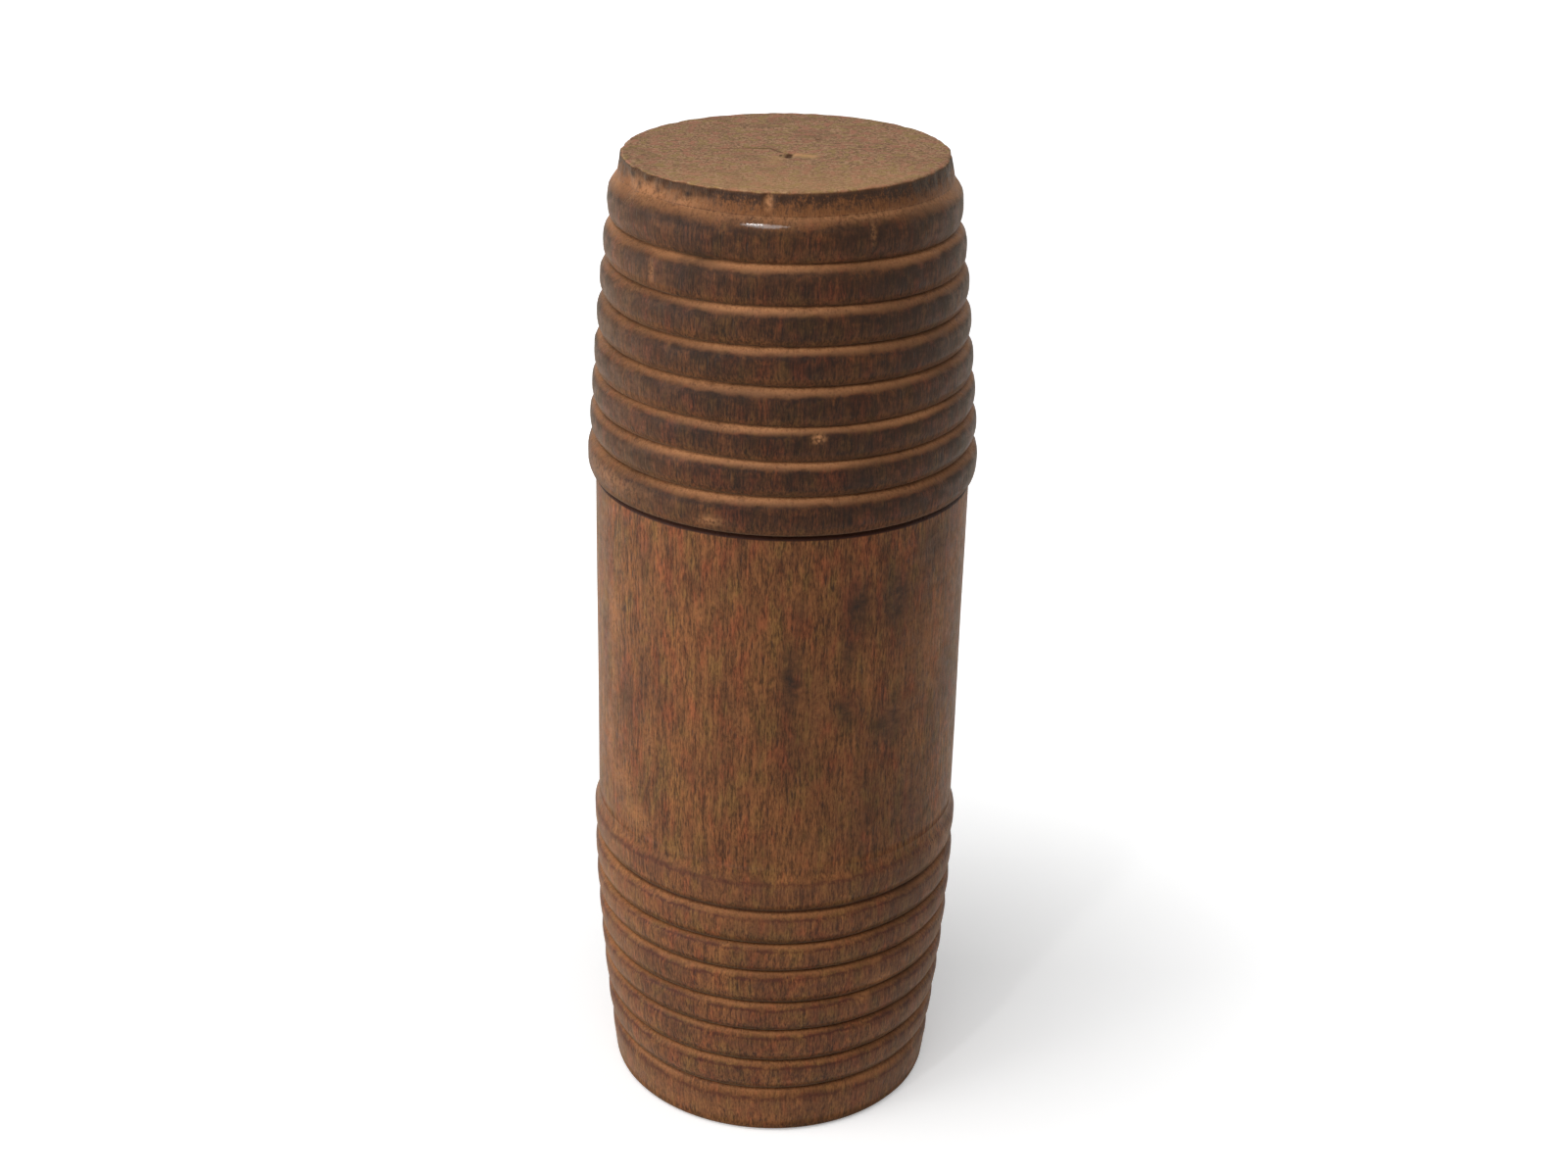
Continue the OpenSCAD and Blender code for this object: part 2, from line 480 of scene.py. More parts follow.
def dashes(tree, size, shift, reach):
    """Scattered short marks, one to a cell of the given size: 1 in the middle of a mark, 0 past
    reach, which is a part of the cell. Each has its own strength."""
    inputs = {"Vector": stretched(tree, size, shift), "Scale": 1.0, "Randomness": 1.0}
    cells = add(tree, "ShaderNodeTexVoronoi", inputs, feature="F1")
    own = add(tree, "ShaderNodeSeparateColor", {"Color": cells.outputs["Color"]}).outputs["Red"]
    return calc(tree, "MULTIPLY", band(tree, cells.outputs["Distance"], reach, 0.3 * reach), own)


def ragged(tree, value, noise, amount, low, high):
    """A step of value from low to high whose edge is broken up by noise, by amount each way."""
    stray = calc(tree, "MULTIPLY_ADD", noise, 2 * amount, -amount)
    return band(tree, calc(tree, "ADD", value, stray), low, high)


def share_of(tree, *values):
    """The product of several shares."""
    product = values[0]
    for value in values[1:]:
        product = calc(tree, "MULTIPLY", product, value)
    return product


def face_grain(tree, tones, fibre, fleck):
    """Stain in broad blotches and long streaks from dark to light, leaning to red or olive in
    small patches, over it fine fibres as a shade, and short dark flecks."""
    blotch = grain(tree, size=(4.5, 4.5, 11), shift=(11, 3, 7), detail=3.0)
    streak = grain(tree, size=(0.6, 0.6, 7), shift=(31, 7, 2), detail=3.0, roughness=0.6)
    patch = grain(tree, size=(1.3, 1.3, 3.4), shift=(5, 23, 17), detail=3.0, roughness=0.6)
    tint = grain(tree, size=(0.45, 0.45, 2.4), shift=(9, 4, 27), detail=2.0, roughness=0.6)
    hue = calc(tree, "MULTIPLY_ADD", tint, 0.2, calc(tree, "MULTIPLY", patch, 0.8))
    colour = laid_on(tree, band(tree, blotch, 0.32, 0.68), tones["dark"], tones["light"])
    colour = laid_on(tree, band(tree, streak, 0.51, 0.64, 0.0, 0.5), colour, tones["light"])
    colour = laid_on(tree, band(tree, streak, 0.49, 0.36, 0.0, 0.6), colour, tones["dark"])
    colour = laid_on(tree, band(tree, hue, 0.51, 0.64, 0.0, tones["tint"]), colour, tones["red"])
    colour = laid_on(tree, band(tree, hue, 0.49, 0.36, 0.0, tones["tint"]), colour, tones["olive"])
    low, high = tones["fibre"]
    shade = band(tree, fibre, 0.36, 0.64, low, high)
    grey = add(tree, "ShaderNodeCombineColor", {"Red": shade, "Green": shade, "Blue": shade})
    colour = laid_on(tree, 1.0, colour, grey.outputs["Color"], "MULTIPLY")
    return laid_on(tree, share_of(tree, fleck, tones["fleck_strength"]), colour, tones["fleck"])


def bead_wear(tree, tones, colour, marks, fibre, mottle):
    """Down each bead: stain rubbed thin on the shoulder, a dark line where the shoulder ends,
    and a darker band under it that thins out down the face. Low on the face the rubbed tone
    is laid on thinly as painted light from the floor. The edges between them are ragged."""
    stray = calc(tree, "MULTIPLY_ADD", mottle, 0.2, -0.1)
    stray = calc(tree, "ADD", stray, calc(tree, "MULTIPLY_ADD", fibre, 0.24, -0.12))
    place = calc(tree, "ADD", marks["down"], stray)
    beaded = marks["beaded"]
    end = tones["rub_end"]
    line = tones["line_at"]
    darker_below = share_of(tree, band(tree, place, end, line), band(tree, place, 0.9, line + 0.05), beaded)
    darker_below = share_of(tree, darker_below, band(tree, mottle, 0.4, 0.6, 0.1, 1.0), tones["under_edge"])
    colour = laid_on(tree, darker_below, colour, tones["under"])
    line_above = band(tree, place, line - 0.06, line)
    line_below = band(tree, place, line + 0.07, line)
    thin = share_of(tree, line_above, line_below, beaded, band(tree, mottle, 0.3, 0.55), tones["line"])
    colour = laid_on(tree, thin, colour, tones["line_tone"])
    soft = tones["rub_soft"]
    rub = share_of(tree, band(tree, place, end + soft, end - soft), marks["worn"])
    rub = share_of(tree, rub, band(tree, mottle, 0.3, 0.62, 0.6 * tones["rub"], 1.25 * tones["rub"]))
    # Low on each face the rubbed tone is laid on thinly as painted light from the floor
    painted_floor_light = share_of(tree, band(tree, place, 0.7, 0.88), beaded, tones["painted_floor_light"])
    thinned = laid_on(tree, band(tree, fibre, 0.34, 0.6), tones["rubbed_dark"], tones["rubbed"])
    return laid_on(tree, calc(tree, "MAXIMUM", rub, painted_floor_light), colour, thinned)


def sawn_grain(tree, tones, speckle):
    """End grain: pale and dark pores as a speckle, in blotches and in patches that lean to red
    or olive, with faint growth lines across it along X."""
    blotch = grain(tree, size=(2.6, 2.6, 2.6), shift=(7, 4, 1), detail=4.0, roughness=0.6)
    patch = grain(tree, size=(1.0, 1.0, 1.0), shift=(2, 9, 4), detail=3.0, roughness=0.6)
    lines = grain(tree, size=(7, 0.45, 7), shift=(13, 1, 3), detail=3.0, roughness=0.6)
    colour = laid_on(tree, band(tree, speckle, 0.43, 0.57), tones["sawn_dark"], tones["sawn"])
    colour = laid_on(tree, band(tree, patch, 0.5, 0.62, 0.0, 0.8), colour, tones["sawn_red"])
    colour = laid_on(tree, band(tree, patch, 0.49, 0.38, 0.0, 0.75), colour, tones["sawn_olive"])
    colour = laid_on(tree, band(tree, blotch, 0.52, 0.34, 0.0, 0.35), colour, tones["sawn_dark"])
    return laid_on(tree, band(tree, lines, 0.5, 0.3, 0.0, 0.3), colour, tones["sawn_dark"])


# Wood that was never stained, between its fibres and along them
bare_dark = tone(150, 112, 74)
bare_light = tone(190, 150, 104)


def turned_wood(name, tones):
    """Stained and waxed turned wood, worn by handling, as the marks on the mesh say. tones
    holds its colours, how strong each kind of wear is, and how far down a bead it falls."""
    material = bpy.data.materials.new(name)
    material.use_nodes = True
    tree = material.node_tree
    tree.nodes.clear()
    marks = {m: mark(tree, m) for m in MARKS}
    end_grain, torn, bare = marks["end_grain"], marks["torn"], marks["bare"]

    thread = grain(tree, size=(0.14, 0.14, 0.6), shift=(3, 41, 6), detail=3.0, roughness=0.7)
    strand = grain(tree, size=(0.26, 0.26, 2.6), shift=(23, 14, 16), detail=3.0, roughness=0.65)
    fibre = calc(tree, "MULTIPLY_ADD", strand, 0.45, calc(tree, "MULTIPLY", thread, 0.55))
    fleck = dashes(tree, size=(0.34, 0.34, 1.7), shift=(8, 29, 13), reach=0.34)
    speckle = grain(tree, size=(0.3, 0.3, 0.3), shift=(6, 1, 3), detail=4.0, roughness=0.8)
    crumble = grain(tree, size=(0.32, 0.32, 0.4), shift=(5, 15, 1), detail=3.0, roughness=0.65)
    mottle = grain(tree, size=(1.5, 1.5, 0.9), shift=(17, 5, 21), detail=4.0, roughness=0.65)
    split = grain(tree, size=(0.18, 0.18, 0.8), shift=(19, 2, 33), detail=3.0, roughness=0.7)

    colour = face_grain(tree, tones, fibre, fleck)
    colour = bead_wear(tree, tones, colour, marks, fibre, mottle)
    torn_tone = laid_on(tree, band(tree, split, 0.2, 0.6), tones["torn_dark"], tones["torn"])
    char = ragged(tree, torn, crumble, 0.9, 0.5, 0.95)
    torn_tone = laid_on(tree, char, torn_tone, tones["torn_dark"])
    colour = laid_on(tree, band(tree, torn, 0.15, 0.4), colour, torn_tone)
    # Rubbed places, where the stain is thin; the broad faint ones on the front left of the barrel and
    # the lid are painted light
    rub = share_of(tree, marks["rubbed"], band(tree, crumble, 0.38, 0.58, 0.3, 1.4), tones["rub"])
    colour = laid_on(tree, rub, colour, tones["rubbed"])
    # Smudges of dirt; the broad faint ones on the barrel's front right are painted shade
    patchy = calc(tree, "MULTIPLY", calc(tree, "ADD", mottle, fibre), 0.5)
    patchy = band(tree, patchy, 0.38, 0.62, 0.35, 1.25)
    smudge = share_of(tree, marks["soiled_and_shaded"], patchy, tones["smudge"])
    colour = laid_on(tree, smudge, colour, tones["dirt_and_shade"])

    sawn = sawn_grain(tree, tones, speckle)
    sawn = laid_on(tree, share_of(tree, marks["rubbed"], 0.7), sawn, tones["sawn_rubbed"])
    soil = ragged(tree, marks["soiled_and_shaded"], speckle, 0.2, 0.25, 0.8)
    sawn = laid_on(tree, soil, sawn, tones["sawn_dirt"])
    colour = laid_on(tree, ragged(tree, end_grain, crumble, 0.15, 0.3, 0.7), colour, sawn)
    raw = laid_on(tree, band(tree, fibre, 0.3, 0.7), bare_dark, bare_light)
    colour = laid_on(tree, bare, colour, raw)
    # The groove mark lays dirt and painted shade into the grooves and seams
    seam = share_of(tree, marks["groove"], tones["seam_strength"])
    colour = laid_on(tree, seam, colour, tones["seam"])

    relief = calc(tree, "MULTIPLY_ADD", fleck, -0.5, share_of(tree, fibre, 0.7))
    relief = calc(tree, "MULTIPLY_ADD", share_of(tree, speckle, end_grain), 1.2, relief)
    relief = calc(tree, "MULTIPLY_ADD", share_of(tree, split, torn), 2.0, relief)
    bump = add(tree, "ShaderNodeBump", {"Height": relief, "Strength": 0.8, "Distance": 0.08 * MM})
    dull = band(tree, mottle, 0.3, 0.7, 0.52, 0.66)
    dull = calc(tree, "MULTIPLY_ADD", calc(tree, "MAXIMUM", end_grain, bare), 0.4, dull)
    caked = share_of(tree, band(tree, marks["down"], 0.6, 0.85), marks["beaded"], tones["caked"])
    dull = calc(tree, "MAXIMUM", dull, caked)
    shine = ragged(tree, marks["polished"], speckle, 0.35, 0.4, 0.7)
    surface = add(tree, "ShaderNodeBsdfPrincipled", {
        "Base Color": colour,
        "Roughness": calc(tree, "MULTIPLY_ADD", shine, -0.3, dull),
        "Coat Weight": shine,
        "Coat Roughness": 0.12,
        "Specular IOR Level": 0.15,
        "Sheen Weight": 0.11,
        "Sheen Roughness": 0.4,
        "Sheen Tint": tone(255, 238, 190),
        "Normal": bump.outputs["Normal"],
    })
    add(tree, "ShaderNodeOutputMaterial", {"Surface": surface.outputs["BSDF"]})
    return material


body_wood = turned_wood("body_wood", {
    "dark": tone(88, 53, 30),
    "light": tone(115, 72, 40),
    "red": tone(116, 57, 34),
    "olive": tone(104, 76, 38),
    "tint": 0.5,
    "fibre": (0.28, 1.76),
    "fleck": tone(52, 30, 21),
    "fleck_strength": 0.9,
    "under": tone(86, 55, 44),
    "under_edge": 0.4,
    "line_at": 0.2,
    "line": 0.75,
    "line_tone": tone(64, 28, 20),
    "smudge": 0.98,
    # Smudge colour, also laid as painted shade on the barrel's front right
    "dirt_and_shade": tone(42, 28, 20),
    "rub_end": 0.1,
    "rub_soft": 0.06,
    "caked": 1.0,
    "rub": 0.75,
    "painted_floor_light": 0.0,
    "rubbed": tone(160, 106, 64),
    "rubbed_dark": tone(124, 78, 46),
    # Colour in the grooves and seams: dirt and painted shade
    "seam": tone(40, 13, 4),
    "seam_strength": 0.95,
    "torn": tone(130, 88, 60),
    "torn_dark": tone(62, 41, 31),
    "sawn": tone(166, 130, 100),
    "sawn_dark": tone(114, 84, 64),
    "sawn_red": tone(152, 106, 84),
    "sawn_olive": tone(142, 116, 78),
    "sawn_rubbed": tone(196, 150, 100),
    "sawn_dirt": tone(72, 42, 26),
})
turned_body.data.materials.append(body_wood)
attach(turned_body, "case")
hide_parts("case_body")

# --- Lid ----------------------------------------------------------------------
# A second turning from the same wood, bored to push over the spigot. Eight round
# beads climb to a flat sawn crown with a short rough wall. Its stain is darker,
# and handling has rubbed the bead shoulders back to the wood.

crown_height = lid_high.z
lid_first_groove = crown_height - 2 * MM
lid_rim_radius = 17.45 * MM
lid_crown_radius = 15 * MM
lid_bow = 0.22 * MM
lid_bead_heights = [3.75, 3.45, 3.3, 3.3, 3.2, 2.95, 3.15, 3.4]
lid_bead_wear = np.array([0.4, 1.0, 0.8, 0.9, 0.95, 0.95, 0.9, 0.75])
lid_face_power = 3.0
lid_groove_depths = np.array([0.6, 0.62, 0.5, 0.62, 0.65, 0.45, 0.47, 0.65, 0.5]) * MM
lid_knife_cuts = np.array([0] + [0.2] * 8) * MM
# On the last bead the groove mark climbs further: painted shade just above the rim
lid_dark_above = [0.12 * MM] * 7 + [0.3 * MM]
disc_radius = 14 * MM
disc_edge = 0.22 * MM
socket_radius = 13.46 * MM
socket_top = spigot_height + 0.8 * MM
crown_thickness = 5.5 * MM
crown_rings = 66
ring_crowding = 1.35
lid_rim_ease = 0.1 * MM
lid_run_in = 0.1
lid_lean = -0.3 * MM
lean_power = 1.3
top_bead_stretch = 0.8
chew_reach = 0.9 * MM
chew_from = disc_radius - 0.7 * MM

# The crown's saw cut, from the share of the lid's height where it starts to show: how far it
# lies over the true height at a point to the right, and its slopes in X and Y
cut_from = 0.92
cut_rise = 0.17 * MM
cut_at = 8 * MM
cut_slope = (0.012, 0.009)

lid_grooves = groove_heights(lid_bead_heights, lid_first_groove, rim_height)


def lid_envelope(height):
    """Radius of the bead crests: a bowed taper from the rim up to the last groove."""
    t = (height - rim_height) / (lid_first_groove - rim_height)
    return bowed(t, lid_rim_radius, lid_crown_radius, lid_bow)


def lid_profile():
    """Axis inside the recess, down to the rim, up the outside and in to the axis on the crown.
    The crown's rings crowd towards the middle as a power of their number."""
    beads = bead_rows(
        lid_grooves, lid_envelope, lid_groove_depths, lid_face_power, lid_knife_cuts, lid_dark_above
    )[::-1]
    rim_radius = beads[0, 0] - lid_rim_ease
    recess_top = crown_height - crown_thickness
    recess_wall = recess_top - bore_radius / math.tan(drill_half_angle)
    mouth = rim_height + edge_chamfer
    mouth_radius = socket_radius + edge_chamfer
    wall_top = crown_height - disc_edge
    turn = np.linspace(0, np.pi / 2, 6)
    rounded = rows(
        disc_radius - disc_edge + disc_edge * np.cos(turn),
        crown_height - disc_edge + disc_edge * np.sin(turn),
        end_grain=np.linspace(0.2, 1, 6),
        torn=np.linspace(1, 0.3, 6),
    )
    wall = straight(
        (beads[-1, 0], lid_first_groove), (disc_radius, wall_top), 12, torn=np.linspace(0.35, 0.95, 12)
    )
    ring = (1 - np.arange(1, crown_rings) / crown_rings) ** ring_crowding
    return np.concatenate([
        rows(0.0, recess_top, **sawn_bare),
        straight((0, recess_top), (bore_radius, recess_wall), 6, **sawn_bare)[1:],
        straight((bore_radius, recess_wall), (bore_radius, socket_top), 4, bare=1.0),
        straight((bore_radius, socket_top), (socket_radius, socket_top), 3, **sawn_bare),
        straight((socket_radius, socket_top), (socket_radius, mouth), 8, bare=1.0),
        straight((socket_radius, mouth), (mouth_radius, rim_height), 2, bare=1.0),
        straight((mouth_radius, rim_height), (rim_radius, rim_height), 4, end_grain=1.0, bare=0.6),
        beads,
        wall[1:],
        rounded,
        rows((disc_radius - disc_edge) * ring, crown_height, end_grain=1.0),
        rows(0.0, crown_height, end_grain=1.0),
    ])


# Bruises in the wood, with their depths in millimetres
lid_bruises = [
    (-95.4, 89.4, 0.3, 0.6, 0.22),
    (-79.8, 70.2, 0.5, 0.3, 0.28),
    (-61.9, 86.8, 0.3, 0.7, 0.12),
    (-134, 82.4, 0.3, 0.9, 0.12),
    (-118, 88.9, 1.2, 0.6, 0.26),
    (-140, 88.6, 1.8, 0.7, 0.32),
    (-156, 88.4, 1.6, 0.7, 0.3),
    (-70, 80.2, 0.4, 0.4, 0.10),
    (-110, 76.8, 0.4, 0.3, 0.12),
    (-52, 73.2, 0.4, 0.4, 0.12),
    (-128, 66.9, 0.5, 0.3, 0.14),
    (10, 84.0, 0.6, 0.4, 0.18),
    (55, 72.5, 0.5, 0.4, 0.18),
    (105, 88.6, 1.4, 0.6, 0.28),
    (150, 78.6, 0.5, 0.4, 0.2),
]

# Dark smudges, and the dirt along the edge of the crown
lid_smudges = [
    (-121, 79.0, 3.0, 10.0, 0.2),
    (-57, 78.4, 3.8, 6.0, 0.5),
    (-62, 70.0, 3.0, 7.0, 0.25),
    (-135, 89.5, 9.0, 0.35, 0.6),
    (-140, 87.3, 6.0, 0.7, 0.4),
    (-38, 87.6, 3.4, 0.8, 0.4),
    (-36, 89.2, 4.0, 0.6, 0.9),
    (-117, 89.2, 1.1, 0.4, 1.0),
    (-124, 89.1, 0.7, 0.5, 1.0),
    (-128, 88.6, 0.3, 0.3, 0.9),
    (-133, 89.3, 0.6, 0.4, 1.0),
    (-138, 88.8, 0.4, 0.4, 1.0),
    (-143, 89.4, 0.6, 0.4, 1.0),
    (-148, 88.7, 0.35, 0.35, 1.0),
    (-154, 89.3, 0.7, 0.4, 1.0),
    (-162, 89.0, 0.5, 0.5, 0.9),
    (-116, 84.3, 1.6, 0.7, 0.8),
    (-140, 83.2, 1.2, 0.8, 0.7),
    (-130, 80.1, 1.4, 0.7, 0.7),
    (-122, 84.0, 0.8, 0.6, 0.7),
    (-54, 82.2, 2.6, 1.0, 0.7),
    (-46, 82.6, 2.2, 1.4, 0.5),
    (-36, 76.0, 2.4, 3.0, 0.5),
    (-62, 69.6, 1.8, 1.0, 0.6),
    (-66, 66.2, 1.4, 0.9, 0.6),
    (-100, 73.6, 2.6, 0.9, 0.5),
    (-50, 63.4, 2.6, 0.9, 0.5),
    (20, 78.0, 2.6, 2.6, 0.6),
    (80, 68.0, 3.0, 3.4, 0.6),
    (128, 83.0, 2.6, 2.6, 0.6),
    (172, 71.0, 3.0, 3.0, 0.6),
]

# Places where the stain has been rubbed thin, and painted light: the first, broad and
# faint, lightens the lid's left, the side towards the window
lid_rubs_and_light = [
    (-146, 75.0, 4.5, 16.0, 0.08),
    (-86, 84.2, 9.0, 1.1, 0.09),
    (-150, 63.4, 6.0, 0.9, 0.3),
    (-82, 87.8, 7.0, 1.0, 0.12),
    (-79.8, 70.2, 0.5, 0.35, 1.0),
    (-61.9, 86.6, 0.22, 1.0, 0.45),
    (-134.5, 82.3, 0.22, 1.0, 0.5),
    (-95.4, 89.2, 0.3, 0.7, 1.0),
    (-124, 88.5, 2.0, 0.8, 0.5),
    (-144, 88.5, 4.0, 1.0, 0.55),
    (-90, 87.9, 9.0, 0.3, 0.3),
    (-60, 87.9, 7.0, 0.28, 0.5),
    (-30, 87.9, 6.0, 0.3, 0.45),
    (30, 87.9, 9.0, 0.35, 0.7),
    (100, 88.0, 9.0, 0.5, 0.8),
    (165, 87.9, 9.0, 0.35, 0.6),
    (-110, 62.6, 1.2, 0.4, 0.5),
    (30, 72.0, 1.0, 0.6, 0.7),
    (118, 77.5, 1.2, 0.6, 0.8),
]

# Where the crown's edge is chewed deeper, in millimetres
crown_edge_wear = [
    (-143, 90.0, 7.0, 2.0, 0.14),
    (-30, 90.0, 5.0, 2.0, 0.06),
    (105, 90.0, 7.0, 2.0, 0.12),
]

# Where the thumb has polished the wax, and where the shoulders have kept their stain
lid_polish = [(-96, 87.35, 2.6, 0.22, 0.9)]
lid_dull = [
    (-150, 76.0, 7.0, 18.0, 0.75),
    (-36, 80.0, 3.0, 5.0, 0.3),
    (24, 70.0, 5.0, 9.0, 0.5),
    (112, 79.0, 6.0, 9.0, 0.5),
]

# Scars on the crown, from one point to another in X and Y, with their half
# widths and depths, all in millimetres, and how dark they are. The last is no scar: a
# broad band with no depth that darkens the back of the crown.
crown_scars = [
    ((-5.7, 0.25), (-3.8, 0.6), 0.15, 0.05, 0.7),
    ((-3.8, 0.6), (-1.6, 0.4), 0.16, 0.05, 0.8),
    ((-1.6, 0.4), (-0.7, -0.9), 0.3, 0.03, 0.62),
    ((-0.75, -2.1), (-0.7, -1.6), 0.2, 0.06, 0.7),
    ((-0.1, -2.3), (0.0, -1.3), 0.4, 0.2, 0.9),
    ((0.3, -3.6), (1.7, -2.9), 0.18, 0.04, 0.6),
    ((2.4, 3.9), (2.5, 3.9), 0.26, 0.08, 0.8),
    ((-3.3, 3.1), (-3.2, 3.1), 0.22, 0.05, 0.6),
    ((-11.4, -6.2), (-10.2, -6.0), 0.3, 0.04, 0.5),
    ((5.4, 8.6), (8.2, 7.4), 0.16, 0.04, 0.5),
    # Not a scar: a broad band that darkens the back of the crown
    ((-9.0, 11.5), (9.0, 11.5), 5.0, 0.0, 0.3),
]

# Rubbed places on the crown, given the same way, with how pale they are in place of the last two.
# The first is a broad band that lightens the front of the crown.
crown_rubs = [
    # A broad band that lightens the front of the crown
    ((-7.0, -14.0), (9.0, -13.0), 7.0, 0.42),
    ((0.6, -1.7), (1.9, -2.2), 0.55, 1.0),
    ((-1.4, -4.6), (-1.0, -2.8), 0.9, 0.45),
    ((-1.7, -8.6), (-1.4, -8.4), 1.1, 0.35),
    ((-8.4, -11.3), (-7.6, -11.2), 0.9, 0.5),
]


def along_line(x, y, start, end, width):
    """1 on the line from start to end, falling off as a Gaussian of the distance over width."""
    start, end = np.array(start) * MM, np.array(end) * MM
    run = end - start
    t = np.clip(((x - start[0]) * run[0] + (y - start[1]) * run[1]) / (run @ run), 0, 1)
    gap = np.hypot(x - start[0] - t * run[0], y - start[1] - t * run[1])
    return np.exp(-((gap / (width * MM)) ** 2))


def lid_wear(angle, profile):
    """The beads stray a little more than the base's, and the lid leans as a power of the way
    up. The crown's edge is chewed by short waves, its face is scarred, and its saw cut is a
    plane that slopes in X and Y."""
    radius, height, down, beaded, groove, end_grain, torn, bare = spread(profile, angle)
    outside = 1 - bare
    side = outside * (1 - end_grain)
    climb = np.clip((height - rim_height) / (crown_height - rim_height), 0, 1)
    run_in = side * np.clip(climb / lid_run_in, 0, 1)
    wander = 0.06 * MM * waves(angle, height, seed=23, count=12, turns=5, length=12 * MM) * run_in
    stray = 0.03 * MM * waves(angle, height, seed=25, count=16, turns=4, length=24 * MM) * side
    ripple = 0.014 * MM * waves(angle, height, seed=28, count=40, turns=40, length=2.5 * MM) * side
    edge = np.exp(-(((height - crown_height) / chew_reach) ** 2)) * (radius > chew_from)
    bitten = MM * (0.05 + spots(angle, height, radius, crown_edge_wear))
    bites = np.clip(waves(angle, height, seed=31, count=60, turns=60, length=2.2 * MM), -0.4, 1.6)
    chewed = bitten * edge * outside * bites
    split = 0.05 * MM * torn * waves(angle, height, seed=33, count=60, turns=110, length=6 * MM)
    bruised = MM * spots(angle, height, radius, lid_bruises) * np.maximum(side, torn)
    new_radius = radius + stray + ripple - chewed - split - bruised
    lean = lid_lean * climb ** lean_power * outside
    x = new_radius * np.cos(angle) + lean
    y = new_radius * np.sin(angle)
    on_crown = outside * end_grain * (climb > 0.5)
    scars = [(depth, dark, along_line(x, y, a, b, width)) for a, b, width, depth, dark in crown_scars]
    sunk = MM * np.max([depth * scar for depth, dark, scar in scars], axis=0) * on_crown
    stained = np.max([dark * scar for depth, dark, scar in scars], axis=0) * on_crown
    rubs = [much * along_line(x, y, a, b, width) for a, b, width, much in crown_rubs]
    crown_rub = np.max(rubs, axis=0)
    cut = cut_rise + cut_slope[0] * (x - cut_at) + cut_slope[1] * y
    out_of_square = cut * outside * np.clip((climb - cut_from) / (1 - cut_from), 0, 1)
    points = (x, y, height + wander + out_of_square - sunk)
    rubbed = np.maximum(outside * spots(angle, height, radius, lid_rubs_and_light), on_crown * crown_rub)
    soiled_and_shaded = np.maximum(side * spots(angle, height, radius, lid_smudges), stained)
    polished = side * spots(angle, height, radius, lid_polish)
    bead = np.clip(np.digitize(-height, -lid_grooves) - 1, 0, len(lid_bead_wear) - 1)
    down = down * np.where(bead == 0, top_bead_stretch, 1.0)
    down = down + 0.03 * waves(angle, height, seed=37, count=16, turns=7, length=8 * MM)
    worn = lid_bead_wear[bead]
    worn = worn + 0.2 * waves(angle, height, seed=39, count=16, turns=9, length=6 * MM)
    worn = beaded * worn * (1 - spots(angle, height, radius, lid_dull))
    return points, (down, beaded, groove, end_grain, torn, bare, worn, rubbed, soiled_and_shaded, polished)


turned_lid = turned_piece("turned_lid", lid_profile(), lid_wear)
lid_wood = turned_wood("lid_wood", {
    "dark": tone(53, 30, 17),
    "light": tone(82, 48, 25),
    "red": tone(90, 43, 25),
    "olive": tone(74, 51, 24),
    "tint": 0.5,
    "fibre": (0.28, 1.8),
    "fleck": tone(34, 22, 16),
    "fleck_strength": 0.8,
    "under": tone(34, 20, 12),
    "under_edge": 0.7,
    "line_at": 0.26,
    "line": 0.3,
    "line_tone": tone(40, 24, 18),
    "smudge": 0.8,
    "dirt_and_shade": tone(34, 24, 18),
    "rub_end": 0.14,
    "rub_soft": 0.1,
    "caked": 0.75,
    "rub": 0.95,
    # Painted light from the floor, low on the bead faces
    "painted_floor_light": 0.09,
    "rubbed": tone(174, 121, 80),
    "rubbed_dark": tone(130, 85, 54),
    # Colour in the grooves and seams: dirt and painted shade
    "seam": tone(54, 31, 18),
    "seam_strength": 0.4,
    "torn": tone(118, 74, 42),
    "torn_dark": tone(54, 34, 22),
    "sawn": tone(182, 143, 110),
    "sawn_dark": tone(112, 80, 62),
    "sawn_red": tone(170, 112, 90),
    "sawn_olive": tone(150, 124, 76),
    "sawn_rubbed": tone(206, 158, 104),
    "sawn_dirt": tone(72, 42, 26),
})
turned_lid.data.materials.append(lid_wood)
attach(turned_lid, "lid")
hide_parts("lid")

# --- Floor --------------------------------------------------------------------
# A plain white sheet that the case stands on, wide enough to fill every view.
# Seen straight or in a reflection it glows a little, so that it reads as white
# where no shadow falls.

floor_half = 3.0
near_glow_reach = (0.018, 0.1)
near_glow = (0.34, 0.72)
far_glow_reach = (0.1, 0.5)
far_glow = 0.16
floor_mesh = bpy.data.meshes.new("floor")
floor_corners = [
    (-floor_half, -floor_half, 0),
    (floor_half, -floor_half, 0),
    (floor_half, floor_half, 0),
    (-floor_half, floor_half, 0),
]
floor_mesh.from_pydata(floor_corners, [], [(0, 1, 2, 3)])
floor = bpy.data.objects.new("floor", floor_mesh)
bpy.context.scene.collection.objects.link(floor)


def seen_by_eye(tree):
    """1 for camera, glossy and transmission rays, and 0 for the light that objects gather."""
    path = add(tree, "ShaderNodeLightPath")
    seen = calc(tree, "MAXIMUM", path.outputs["Is Camera Ray"], path.outputs["Is Glossy Ray"])
    return calc(tree, "MAXIMUM", seen, path.outputs["Is Transmission Ray"])


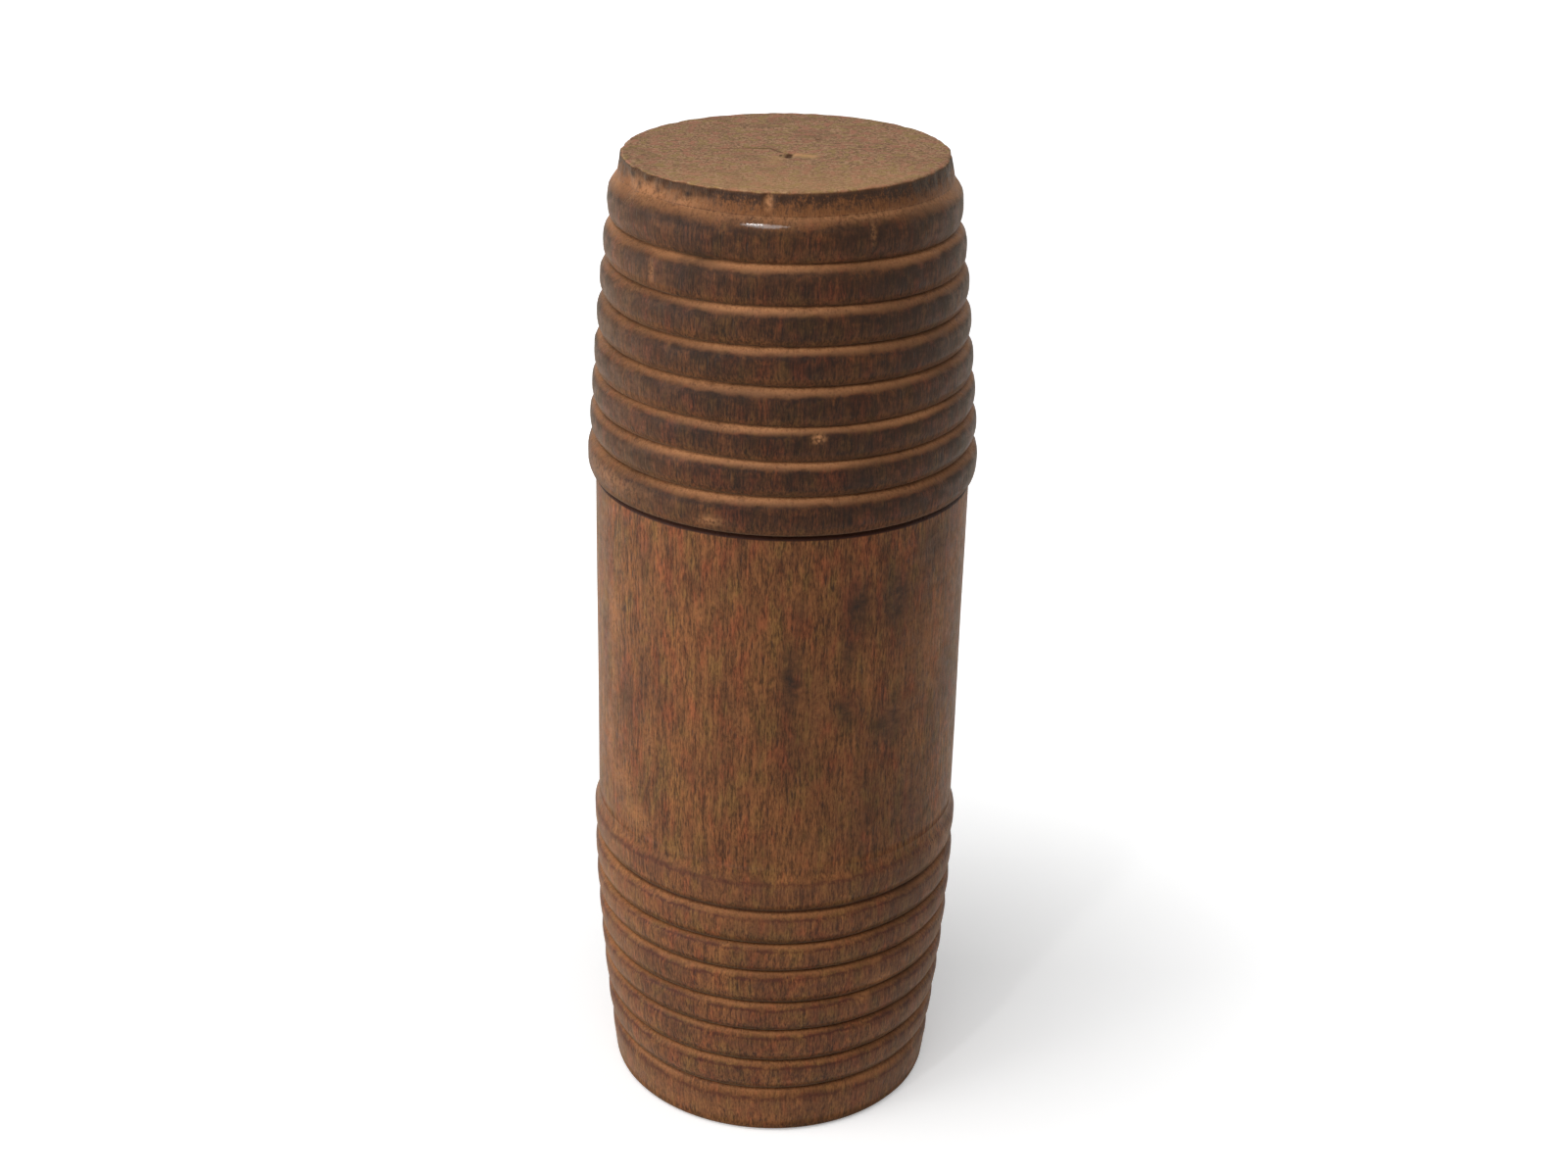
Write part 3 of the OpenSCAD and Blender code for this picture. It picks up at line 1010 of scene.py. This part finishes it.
def white_sheet():
    """Matt white, with a glow of its own for the rays that see it. The glow grows with the
    distance from the case, quickly at first and then slowly, as the lamps' light falls away."""
    material = bpy.data.materials.new("white_sheet")
    material.use_nodes = True
    tree = material.node_tree
    tree.nodes.clear()
    matt = add(tree, "ShaderNodeBsdfDiffuse", {"Color": tone(246, 246, 246)})
    place = add(tree, "ShaderNodeTexCoord").outputs["Object"]
    away = add(tree, "ShaderNodeVectorMath", {0: place}, operation="LENGTH").outputs["Value"]
    near = band(tree, away, *near_glow_reach, *near_glow)
    far = band(tree, away, *far_glow_reach, 0.0, far_glow)
    strength = calc(tree, "ADD", near, far)
    glow = add(tree, "ShaderNodeEmission", {"Color": tone(255, 255, 255), "Strength": strength})
    nothing = add(tree, "ShaderNodeEmission", {"Strength": 0.0})
    choice = {0: seen_by_eye(tree), 1: nothing.outputs[0], 2: glow.outputs[0]}
    shown = add(tree, "ShaderNodeMixShader", choice)
    total = add(tree, "ShaderNodeAddShader", {0: matt.outputs[0], 1: shown.outputs[0]})
    add(tree, "ShaderNodeOutputMaterial", {"Surface": total.outputs[0]})
    return material


floor.data.materials.append(white_sheet())

# --- Light --------------------------------------------------------------------
# A white studio: an even surround, a wide window low on the left, a soft ceiling
# light in front, a small bare lamp just before it that draws the glint, and a
# faint reflector on the right.

world = bpy.data.worlds.new("studio")
bpy.context.scene.world = world
world.use_nodes = True
sky = world.node_tree
sky.nodes.clear()
surround_strength = 0.2
strength = calc(sky, "MAXIMUM", seen_by_eye(sky), surround_strength)
surround = add(sky, "ShaderNodeBackground", {"Color": (1, 1, 1, 1), "Strength": strength})
add(sky, "ShaderNodeOutputWorld", {"Surface": surround.outputs[0]})


def area_lamp(name, left, up, distance, width, height, power):
    """An area lamp that faces the middle of the case, so many degrees left of the front and up
    from level."""
    middle = Vector((0, 0, crown_height / 2))
    left, up = math.radians(left), math.radians(up)
    away = Vector((-math.sin(left) * math.cos(up), -math.cos(left) * math.cos(up), math.sin(up)))
    lamp = bpy.data.lights.new(name, "AREA")
    lamp.shape = "RECTANGLE"
    lamp.size = width
    lamp.size_y = height
    lamp.energy = power
    holder = bpy.data.objects.new(name, lamp)
    bpy.context.scene.collection.objects.link(holder)
    holder.location = middle + distance * away
    holder.rotation_euler = (-away).to_track_quat("-Z", "Y").to_euler()


area_lamp("window", left=73, up=12, distance=0.75, width=0.60, height=0.40, power=3.9)
area_lamp("ceiling", left=28, up=55, distance=0.70, width=0.60, height=0.50, power=2.65)
area_lamp("reflector", left=-80, up=25, distance=0.80, width=0.50, height=0.50, power=0.28)
area_lamp("bare_lamp", left=28, up=55, distance=0.64, width=0.02, height=0.02, power=0.25)

# --- Camera -------------------------------------------------------------------
# Close to the case, looking down at it, and rolled by a little over a degree.

eye_distance = 0.1956
eye_height = 0.1357
look_down = math.radians(23.79)
look_right = math.radians(0.12)
roll = math.radians(1.374)
camera_data = bpy.data.cameras.new("camera")
camera_data.sensor_width = 36
camera_data.lens = 53.45
camera_data.clip_start = 0.01
camera_data.clip_end = 20
camera = bpy.data.objects.new("camera", camera_data)
bpy.context.scene.collection.objects.link(camera)
level_to_view = Matrix.Rotation(math.radians(90), 4, "X")
aim = Matrix.Rotation(-look_right, 4, "Z") @ Matrix.Rotation(-look_down, 4, "X")
place = Matrix.Translation((0, -eye_distance, eye_height))
camera.matrix_world = place @ aim @ level_to_view @ Matrix.Rotation(roll, 4, "Z")
bpy.context.scene.camera = camera
bpy.context.scene.view_settings.view_transform = "Standard"
